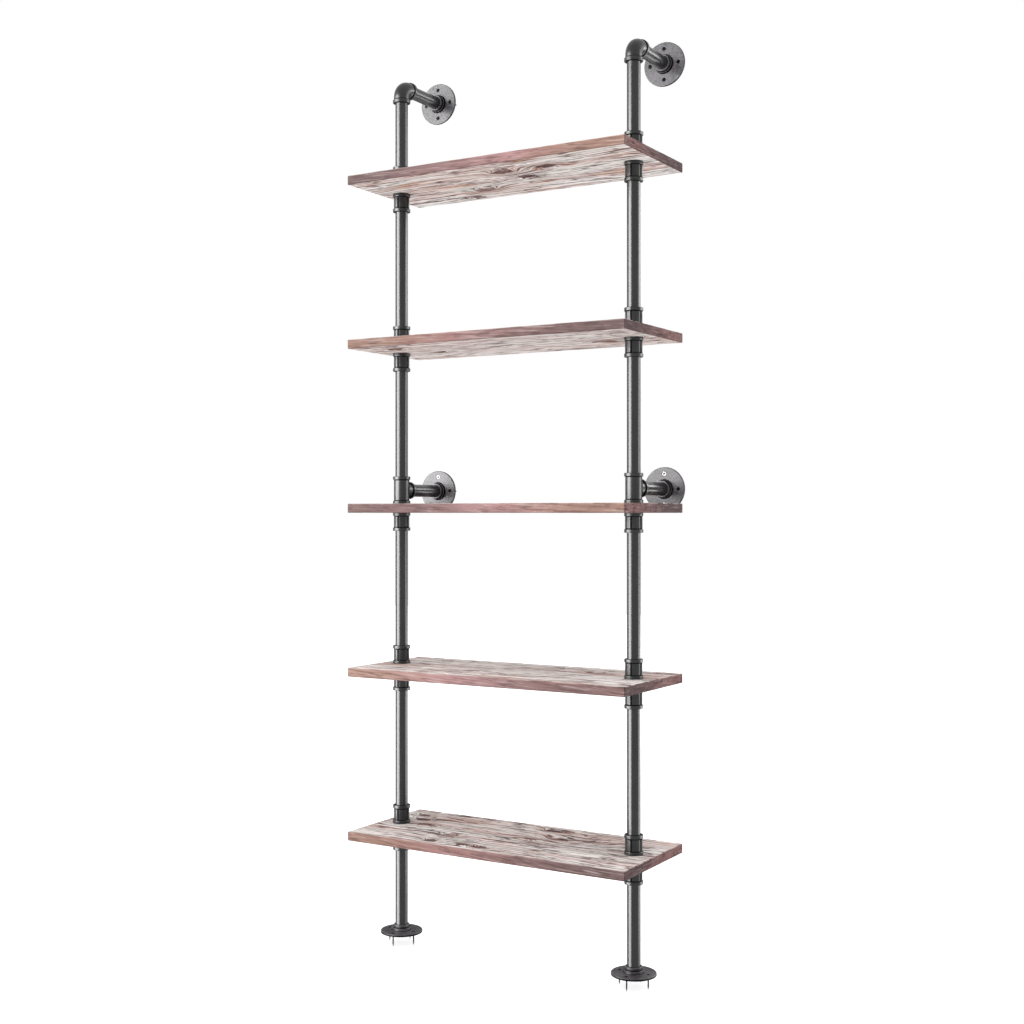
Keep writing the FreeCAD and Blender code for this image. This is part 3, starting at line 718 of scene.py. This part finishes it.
def boardBody(seed):
    # two faces of square cells with a round window at each upright, joined by a rounded side wall.
    # Side point = core + outward normal * r cos t, height +-(half - r) +- r sin t.
    round_, half = board["edgeRound"], board["thick"] / 2
    coreX, coreY = board["length"] / 2 - round_, board["depth"] / 2 - round_
    window, axis = board["window"], board["uprightX"]
    xs = gridLines([-coreX, -axis - window, -axis + window, axis - window, axis + window, coreX])
    ys = gridLines([-coreY, -window, window, coreY])
    gridX, gridY = np.meshgrid(xs, ys, indexing="ij")
    midX, midY = (gridX[1:, 1:] + gridX[:-1, :-1]) / 2, (gridY[1:, 1:] + gridY[:-1, :-1]) / 2
    solid = ~((np.abs(np.abs(midX) - axis) < window) & (np.abs(midY) < window))
    index = np.arange(gridX.size).reshape(gridX.shape)
    cells = np.stack([index[:-1, :-1], index[1:, :-1], index[1:, 1:], index[:-1, 1:]], axis=-1)[solid]
    parts = []

    def relief(x, y, face):
        # the face dips a little here and there, never above its plane, and not at its edges or windows
        dip = (1 + ripple(x, y * 2.5, seed * 10 + face, board["reliefWaves"])) / 2
        calm = smooth((coreX - np.abs(x)) / board["fadeEnds"])
        calm = calm * smooth((coreY - np.abs(y)) / board["fadeSides"])
        far = np.hypot(np.abs(x) - axis, y)
        return board["relief"] * dip * calm * smooth((far - board["seat"]) / board["fadeSides"])

    side = np.linspace(-window, window, int(round(2 * window / board["cell"])) + 1)
    edgeX, edgeY = roundField(side, side)
    heading = np.arctan2(edgeY, edgeX)
    boreEnd, seatHeight = half - board["boreFrom"], half - board["seatDepth"]
    steps = np.array([(board["hole"], boreEnd), (board["hole"], seatHeight), (board["seat"], seatHeight),
                      (board["seat"], half)])
    rings = turned(steps, heading)
    share = np.linspace(0, 1, 5)[1:, None]
    outX = (1 - share) * board["seat"] * np.cos(heading) + share * edgeX
    outY = (1 - share) * board["seat"] * np.sin(heading) + share * edgeY
    for face in (1, -1):
        height = face * (half - relief(gridX, gridY, face))
        parts.append((np.stack([gridX, gridY, height], axis=-1).reshape(-1, 3), cells[:, ::face]))
        for place in (-axis, axis):
            apron = np.stack([outX, outY, half - relief(outX + place, outY, face)], axis=-1)
            points = np.concatenate([rings, apron])
            points = points * np.array([1, 1, face]) + np.array([place, 0, 0])
            parts.append(sheet(points, closeColumns=True))
    bore = turned(np.array([(board["hole"], boreEnd), (board["hole"], -boreEnd)]), heading)
    for place in (-axis, axis):
        parts.append(sheet(bore + np.array([place, 0, 0]), closeColumns=True))
    # side wall
    corner = np.linspace(0, np.pi / 2, 6)
    spots, normals = [], []
    runs = [(xs, np.full_like(xs, -coreY), -np.pi / 2), (np.full_like(ys, coreX), ys, 0.0),
            (xs[::-1], np.full_like(xs, coreY), np.pi / 2), (np.full_like(ys, -coreX), ys[::-1], np.pi)]
    for x, y, facing in runs:
        spots.append(np.stack([x, y], axis=-1))
        normals.append(np.full(len(x), facing))
        spots.append(np.repeat([[x[-1], y[-1]]], 4, axis=0))
        normals.append(facing + corner[1:-1])
    spot, facing = np.vstack(spots), np.concatenate(normals)
    tilt = np.linspace(0, np.pi / 2, 7)[::-1]
    wallRows = np.linspace(-1, 1, 8)[1:-1] * (half - round_)
    outward = np.concatenate([np.cos(tilt), np.ones(6), np.cos(tilt[::-1])])[:, None] * round_
    height = np.concatenate([half - round_ + round_ * np.sin(tilt), wallRows[::-1],
                             -(half - round_ + round_ * np.sin(tilt[::-1]))])[:, None]
    x = spot[:, 0] + outward * np.cos(facing)
    y = spot[:, 1] + outward * np.sin(facing)
    # worn edges: the roundings and the wall pull in by a seeded amount, most at the arrises
    arris = np.exp(-((np.abs(height) - half + 0.4 * mm) / (1.2 * mm)) ** 2) * (outward > 0.2 * round_)
    uneven = (1 + ripple(x + 3 * height, y, seed, board["wearWaves"])) / 2
    pull = board["wear"] * arris * uneven ** 2
    x, y = x - pull * np.cos(facing), y - pull * np.sin(facing)
    z = height - np.sign(height) * pull * 0.5 + 0 * x
    parts.append(sheet(np.stack([x, y, z], axis=-1), closeColumns=True))
    return parts


# knots of each board, in mm: place along and across, half length, half width, lift of the grain, darkness.
# A darkness of 0 is an arch, where the growth lines close with no knot inside.
knots = {
    "shelf_1": [(-273, 83, 15, 10, 26, 0.9), (-252, 47, 20, 10, 26, 1.0), (-219, 8, 19, 10, -20, 0.9),
                (47, 93, 22, 9, 20, 0.9), (93, 33, 24, 10, 18, 1.0), (36, 7, 20, 8, -14, 1.0),
                (-117, -47, 18, 11, 24, 0.8), (-128, -107, 16, 10, 20, 0.8), (-52, -102, 20, 9, -18, 0.9),
                (-14, -107, 21, 9, 18, 0.9), (136, 30, 66, 34, 40, 0)],
    "shelf_2": [(167, 46, 24, 9, 20, 0.6), (-60, -40, 16, 7, -16, 0.5), (-215, 88, 15, 7, 18, 0.6),
                (60, 92, 14, 7, 16, 0.5)],
    "shelf_3": [(-120, 35, 20, 9, 22, 0.8), (85, -60, 22, 10, -24, 0.9), (210, 70, 15, 8, 20, 0.7)],
    "shelf_4": [(-236, -78, 22, 9, 22, 0.9), (-190, 22, 18, 8, -18, 0.7), (278, -77, 18, 8, 18, 0.6),
                (199, 24, 26, 10, 22, 0.8)],
    "shelf_5": [(-147, 101, 15, 8, 20, 0.8), (-97, 54, 26, 14, -36, 0.9), (38, -6, 22, 11, 26, 1.0),
                (13, -60, 26, 14, -36, 0.9), (113, -60, 26, 13, 30, 0.9)],
}

wood = {"wash": tone(245, 241, 238), "chalk": tone(230, 224, 219), "rose": tone(228, 210, 207),
        "honey": tone(192, 146, 112), "streak": tone(158, 121, 116), "crack": tone(62, 42, 41),
        "rust": tone(104, 58, 48), "knot": tone(126, 84, 79), "heart": tone(66, 38, 36)}
stain = {"sand": tone(180, 144, 131), "ochre": tone(160, 126, 112), "blush": tone(180, 139, 137),
         "rose": tone(166, 126, 122), "mauve": tone(149, 117, 116), "plum": tone(134, 105, 103),
         "umber": tone(117, 95, 93), "bark": tone(84, 66, 66), "russet": tone(124, 91, 89),
         "hair": tone(70, 48, 47)}
# the stain of each board's sides, from -X to +X, and of its ends, from -Y to +Y
sideRuns = {"shelf_1": ("ochre", "rose", "plum", "umber"), "shelf_2": ("sand", "blush", "mauve", "plum"),
            "shelf_3": ("plum", "mauve", "blush", "ochre"), "shelf_4": ("ochre", "rose", "plum", "umber"),
            "shelf_5": ("umber", "mauve", "blush", "ochre")}
endRuns = {"shelf_1": ("bark", "russet"), "shelf_2": ("bark", "russet"), "shelf_3": ("russet", "bark"),
           "shelf_4": ("bark", "russet"), "shelf_5": ("russet", "bark")}


def makeKnotGroup():
    # one knot. d = offset / half size and r = |d|. The grain field psi rises by lift exp(-0.55 r r), so its
    # level lines close round the knot and pass it by in a bow; mask is 1 inside the knot and near 1 about it.
    group = bpy.data.node_groups.new("grainRoundKnot", "ShaderNodeTree")
    for name in ("Along", "Across", "Psi", "Mask", "Near", "Knot Along", "Knot Across", "Half Length",
                 "Half Width", "Lift", "Dark", "Fray"):
        group.interface.new_socket(name, in_out="INPUT", socket_type="NodeSocketFloat")
    for name in ("Psi", "Mask", "Near"):
        group.interface.new_socket(name, in_out="OUTPUT", socket_type="NodeSocketFloat")
    given = group.nodes.new("NodeGroupInput").outputs
    offsets = []
    for way, half in (("Along", "Half Length"), ("Across", "Half Width")):
        offset = calc(group, "SUBTRACT", given[way], given["Knot " + way])
        offsets.append(calc(group, "DIVIDE", offset, given[half]))
    dx, dy = offsets
    square = plus(group, times(group, dx, dx), times(group, dy, dy))
    hump = calc(group, "EXPONENT", times(group, square, -0.55))
    psi = plus(group, given["Psi"], times(group, hump, given["Lift"]))
    reach = calc(group, "SQRT", square)
    frayed = plus(group, reach, given["Fray"])
    inside = times(group, spread(group, frayed, 1.1, 0.75), given["Dark"])
    mask = calc(group, "MAXIMUM", given["Mask"], inside)
    near = calc(group, "MAXIMUM", given["Near"], spread(group, reach, 2.7, 1.7))
    result = group.nodes.new("NodeGroupOutput").inputs
    for name, value in (("Psi", psi), ("Mask", mask), ("Near", near)):
        group.links.new(value, result[name])
    return group


knotGroup = makeKnotGroup()


def centred(tree, value, size):
    # a noise of 0 to 1 as a length of -size / 2 to size / 2
    return times(tree, calc(tree, "SUBTRACT", value, 0.5), size)


def levelLine(tree, value, width):
    # 1 where a noise crosses its middle, 0 from width away: a thin line along the grain
    return spread(tree, calc(tree, "ABSOLUTE", calc(tree, "SUBTRACT", value, 0.5)), width, width * 0.25)


def stainRamp(tree, value, words, spots):
    # the stains of a list of words, blended at set spots of a value
    ramp = put(tree, "ValToRGB", {0: value})
    while len(ramp.color_ramp.elements) < len(words):
        ramp.color_ramp.elements.new(0.5)
    for element, spot, word in zip(ramp.color_ramp.elements, spots, words):
        element.position = spot
        element.color = stain[word]
    return ramp.outputs[0]


woodGrain = {"drift": 45 * mm, "wobble": 6 * mm, "lineSpacing": 13 * mm, "ringSpacing": 5 * mm,
             "crackWidth": 0.045, "sideFrom": 1.6 * mm, "sideTo": 0.8 * mm}


def edgeShare(tree, way, half):
    # 0 on the faces, rising to 1 on the wall at a board's half length or half depth
    return spread(tree, calc(tree, "ABSOLUTE", way), half - woodGrain["sideFrom"], half - woodGrain["sideTo"])


def woodMaterial(name, knotList, sideRun, endRun, middleHeight, offset):
    # weathered, whitewashed pine. Every pattern reads (x, psi, z), where psi is y bent by slow noise and the
    # knots, so growth lines psi / spacing, streaks and cracks all run round the knots; the sides are stained.
    material, tree = newTree(name)
    position = put(tree, "TexCoord").outputs["Object"]
    axes = put(tree, "SeparateXYZ", {0: position}).outputs
    along, across, height = axes[0], axes[1], axes[2]
    drift = longNoise(tree, position, (3, 8, 16), offset)
    wobble = longNoise(tree, position, (14, 44, 40), offset, 3.0, 0.6)
    fray = centred(tree, longNoise(tree, position, (90, 150, 60), offset, 3.0, 0.6), 1.4)
    sideways = plus(tree, centred(tree, drift, woodGrain["drift"]),
                    centred(tree, wobble, woodGrain["wobble"]))
    psi = plus(tree, across, sideways)
    mask = near = 0.0
    for x, y, halfLength, halfWidth, lift, dark in knotList:
        given = {"Along": along, "Across": across, "Psi": psi, "Mask": mask, "Near": near, "Fray": fray,
                 "Knot Along": x * mm, "Knot Across": y * mm, "Half Length": halfLength * mm,
                 "Half Width": halfWidth * mm, "Lift": lift * mm, "Dark": dark}
        knot = put(tree, "Group", given, node_tree=knotGroup).outputs
        psi, mask, near = knot["Psi"], knot["Mask"], knot["Near"]
    flow = put(tree, "CombineXYZ", {0: along, 1: psi, 2: height}).outputs[0]
    broad = longNoise(tree, flow, (2.2, 22, 20), offset)
    tint = longNoise(tree, flow, (3, 34, 20), (offset[1], offset[0], 3))
    streak = longNoise(tree, flow, (5, 70, 70), offset, 4.0, 0.62)
    split = longNoise(tree, flow, (7, 80, 80), (offset[1], 2, offset[0]), 3.0, 0.6)
    broken = longNoise(tree, flow, (13, 45, 40), (5, offset[0], 1))
    fine = longNoise(tree, flow, (30, 420, 400), offset, 2.0, 0.6)
    fleck = longNoise(tree, flow, (75, 190, 150), offset)
    rustShare = spread(tree, longNoise(tree, flow, (9, 26, 20), (2, 7, offset[0])), 0.44, 0.58)
    crackTone = blend(tree, rustShare, wood["crack"], wood["rust"])
    # face colour, from the ground up
    ground = blend(tree, spread(tree, broad, 0.38, 0.62), wood["wash"], wood["chalk"])
    ground = blend(tree, times(tree, spread(tree, tint, 0.46, 0.62), 0.8), ground, wood["rose"])
    streakShare = times(tree, spread(tree, streak, 0.54, 0.63), 0.6)
    face = blend(tree, streakShare, ground, wood["streak"])
    honeyShare = times(tree, spread(tree, tint, 0.56, 0.65), spread(tree, streak, 0.48, 0.58))
    face = blend(tree, times(tree, honeyShare, 0.8), face, wood["honey"])
    # growth lines, irregularly spaced, that fade in and out, and closer rings about the knots
    count = plus(tree, calc(tree, "DIVIDE", psi, woodGrain["lineSpacing"]), centred(tree, broad, 5.0))
    lines = spread(tree, calc(tree, "PINGPONG", count, 0.5), 0.15, 0.05)
    growth = times(tree, lines, spread(tree, broken, 0.42, 0.5))
    closer = calc(tree, "PINGPONG", calc(tree, "DIVIDE", psi, woodGrain["ringSpacing"]), 0.5)
    ring = times(tree, spread(tree, closer, 0.18, 0.07), times(tree, near, 0.6))
    growth = calc(tree, "MAXIMUM", growth, ring)
    tan = times(tree, near, spread(tree, tint, 0.48, 0.6, 0, 0.22))
    face = blend(tree, tan, face, wood["honey"])
    face = blend(tree, times(tree, growth, 0.9), face, crackTone)
    crack = times(tree, levelLine(tree, split, woodGrain["crackWidth"]), spread(tree, broken, 0.58, 0.48))
    face = blend(tree, times(tree, crack, 0.95), face, crackTone)
    fleckShare = times(tree, near, spread(tree, fleck, 0.58, 0.65, 0, 0.5))
    face = blend(tree, fleckShare, face, wood["rust"])
    fineShare = times(tree, spread(tree, fine, 0.5, 0.64), 0.3)
    face = blend(tree, fineShare, face, wood["streak"])
    face = blend(tree, times(tree, mask, 0.85), face, wood["knot"])
    heart = times(tree, mask, spread(tree, streak, 0.42, 0.52))
    face = blend(tree, times(tree, heart, 0.85), face, wood["heart"])
    # stained sides
    sway = centred(tree, longNoise(tree, position, (5, 9, 60), offset), 0.3)
    run = plus(tree, calc(tree, "DIVIDE", along, board["length"]), plus(tree, 0.5, sway))
    side = stainRamp(tree, run, sideRun, (0.12, 0.38, 0.62, 0.88))
    run = plus(tree, calc(tree, "DIVIDE", across, board["depth"]), plus(tree, 0.5, sway))
    endGrain = stainRamp(tree, run, endRun, (0.2, 0.7))
    reachX = edgeShare(tree, along, board["length"] / 2)
    reachY = edgeShare(tree, across, board["depth"] / 2)
    side = blend(tree, reachX, side, endGrain)
    leaning = plus(tree, height, times(tree, along, 0.05))
    slant = put(tree, "CombineXYZ", {0: along, 1: across, 2: leaning}).outputs[0]
    hair = longNoise(tree, slant, (12, 26, 260), offset, 3.0, 0.65)
    blotch = longNoise(tree, slant, (26, 60, 110), (offset[1], 4, 2))
    hairShare = times(tree, spread(tree, hair, 0.5, 0.66), spread(tree, reachX, 0, 1, 0.5, 0.8))
    side = blend(tree, hairShare, side, stain["hair"])
    blotchShare = times(tree, spread(tree, blotch, 0.53, 0.66), spread(tree, reachX, 0, 1, 0.36, 0.75))
    side = blend(tree, blotchShare, side, stain["hair"])
    paleShare = times(tree, spread(tree, hair, 0.46, 0.34), spread(tree, reachX, 0, 1, 0.3, 0.12))
    side = blend(tree, paleShare, side, wood["rose"])
    # the lower arris is dark and the upper one rubbed pale here and there
    rim = calc(tree, "SUBTRACT", height, middleHeight)
    side = blend(tree, times(tree, spread(tree, rim, -6.6 * mm, -9.0 * mm), 0.4), side, stain["hair"])
    rubbed = times(tree, spread(tree, rim, 7.6 * mm, 9.1 * mm), spread(tree, broken, 0.46, 0.56))
    side = blend(tree, times(tree, rubbed, 0.4), side, wood["rose"])
    colour = blend(tree, calc(tree, "MAXIMUM", reachX, reachY), face, side)
    roughness = plus(tree, 0.62, times(tree, streak, 0.25))
    shader = put(tree, "BsdfPrincipled", {"Base Color": colour, "Roughness": roughness,
                                          "Specular IOR Level": 0.12})
    low = plus(tree, times(tree, streakShare, -0.4),
               times(tree, calc(tree, "MAXIMUM", growth, crack), -1.0))
    low = plus(tree, low, times(tree, fine, -0.35))
    finishMaterial(tree, shader, low, 0.0004, 0.8)
    return material


for number in range(1, 6):
    node = f"shelf_{number}"
    low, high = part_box(node)
    middle = (low + high) / 2
    material = woodMaterial(f"shelfWood{number}", knots[node], sideRuns[node], endRuns[node], middle.z,
                            (0.37 * number, 1.3 * number, 0.7 * number))
    parts = [placed(part, tuple(middle)) for part in boardBody(number)]
    addPiece(node, parts, material, 50)
    # the nipples run inside the fittings and keep their CAD shape
    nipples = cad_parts[f"shelf_{number}_nipples"]
    nipples.data.materials.clear()
    nipples.data.materials.append(pipeIron)
print("boards made")


# Floor, background and light

stage = {"floorHeight": -24.6 * mm, "floorHalf": 9.0}


def flatMesh(name, wide, high):
    # one four-sided face in the XY plane, given by its half sizes
    mesh = bpy.data.meshes.new(name)
    corners = [(-wide, -high, 0), (wide, -high, 0), (wide, high, 0), (-wide, high, 0)]
    mesh.from_pydata(corners, [], [(0, 1, 2, 3)])
    return mesh


def aimed(thing, place, aim):
    # puts an object at its place, with its -Z axis towards the aim
    thing.location = place
    thing.rotation_euler = (Vector(aim) - Vector(place)).to_track_quat("-Z", "Y").to_euler()
    bpy.context.scene.collection.objects.link(thing)


floorMesh = flatMesh("paleFloor", stage["floorHalf"], stage["floorHalf"])
floorMesh.transform(Matrix.Translation((0, 0, stage["floorHeight"])))
floor = bpy.data.objects.new("paleFloor", floorMesh)
bpy.context.scene.collection.objects.link(floor)
floorMaterial, tree = newTree("paleFloor")
diffuse = put(tree, "BsdfDiffuse", {"Color": (0.86, 0.86, 0.86, 1)})
glow = put(tree, "Emission", {"Color": (1, 1, 1, 1), "Strength": 0.7})
bounce = put(tree, "Emission", {"Color": (1, 1, 1, 1), "Strength": 0.2})
rays = put(tree, "LightPath").outputs
seen = calc(tree, "MAXIMUM", rays["Is Camera Ray"], rays["Is Glossy Ray"])
both = put(tree, "AddShader", {0: diffuse.outputs[0], 1: glow.outputs[0]})
lit = put(tree, "AddShader", {0: diffuse.outputs[0], 1: bounce.outputs[0]})
shown = put(tree, "MixShader", {0: seen, 1: lit.outputs[0], 2: both.outputs[0]})
put(tree, "OutputMaterial", {"Surface": shown.outputs[0]})
floorMesh.materials.append(floorMaterial)
floor.visible_glossy = False    # the iron mirrors the white room and the strips down to its feet
floor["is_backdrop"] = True

world = bpy.data.worlds.new("whiteRoom")
bpy.context.scene.world = world
world.use_nodes = True
tree = world.node_tree
tree.nodes.clear()
rays = put(tree, "LightPath").outputs
seen = calc(tree, "MAXIMUM", calc(tree, "MAXIMUM", rays["Is Camera Ray"], rays["Is Glossy Ray"]),
            rays["Is Transmission Ray"])
ambient = put(tree, "Background", {"Color": (1, 1, 1, 1), "Strength": 0.95})
white = put(tree, "Background", {"Color": (1, 1, 1, 1), "Strength": 1.0})
shown = put(tree, "MixShader", {0: seen, 1: ambient.outputs[0], 2: white.outputs[0]})
put(tree, "OutputWorld", {"Surface": shown.outputs[0]})

# the strips only show in the gloss of the iron, the softboxes only light the colours
lamps = {
    "leftStrip": {"place": (-1.59, -1.99, 0.85), "aim": (0, 0, 0.85), "size": (2.38, 3.7), "power": 440,
                  "gloss": True},
    "rightStrip": {"place": (3.15, 2.46, 1.0), "aim": (0, 0, 1.0), "size": (2.4, 4.2), "power": 180,
                   "gloss": True},
    "highStrip": {"place": (1.75, 3.2, 2.08), "aim": (0, 0, 1.3), "size": (1.5, 0.6), "power": 17,
                  "gloss": True},
    "lowStrip": {"place": (1.2, 3.2, 0.06), "aim": (0, 0, 1.3), "size": (1.7, 0.5), "power": 13,
                 "gloss": True},
    "topSoftbox": {"place": (0.2, -0.6, 3.6), "aim": (0, 0, 0.9), "size": (1.8, 1.8), "power": 36,
                   "gloss": False},
    "frontSoftbox": {"place": (-0.9, -2.6, 1.3), "aim": (0, 0, 0.9), "size": (1.2, 1.8), "power": 4,
                     "gloss": False},
}
for name, lamp in lamps.items():
    light = bpy.data.lights.new(name, "AREA")
    light.shape = "RECTANGLE"
    light.size, light.size_y = lamp["size"]
    light.energy = lamp["power"]
    holder = bpy.data.objects.new(name, light)
    holder.visible_camera = False
    holder.visible_glossy = lamp["gloss"]
    holder.visible_diffuse = not lamp["gloss"]
    aimed(holder, lamp["place"], lamp["aim"])

# black cards, seen in the gloss alone: one keeps the floor plates dark, and one parts the two bands of light
# on the wall pipes
flags = {"wallFlag": {"place": (-1.55, 2.6, 0.95), "aim": (0, 0, 0.05), "size": (1.7, 1.1)},
         "backFlag": {"place": (1.8, 3.2, 0.94), "aim": (0, 0, 0.94), "size": (1.5, 1.1)}}
flagMaterial, tree = newTree("flagBlack")
black = put(tree, "BsdfDiffuse", {"Color": tone(12, 12, 12)})
put(tree, "OutputMaterial", {"Surface": black.outputs[0]})
for name, flag in flags.items():
    mesh = flatMesh(name, flag["size"][0] / 2, flag["size"][1] / 2)
    mesh.materials.append(flagMaterial)
    card = bpy.data.objects.new(name, mesh)
    card.visible_camera = card.visible_diffuse = card.visible_transmission = card.visible_shadow = False
    aimed(card, flag["place"], flag["aim"])
    card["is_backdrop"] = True
print("floor and light set")

bpy.context.scene.view_settings.view_transform = "Standard"

low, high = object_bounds()
print("visual box", [round(v, 4) for v in low], [round(v, 4) for v in high])
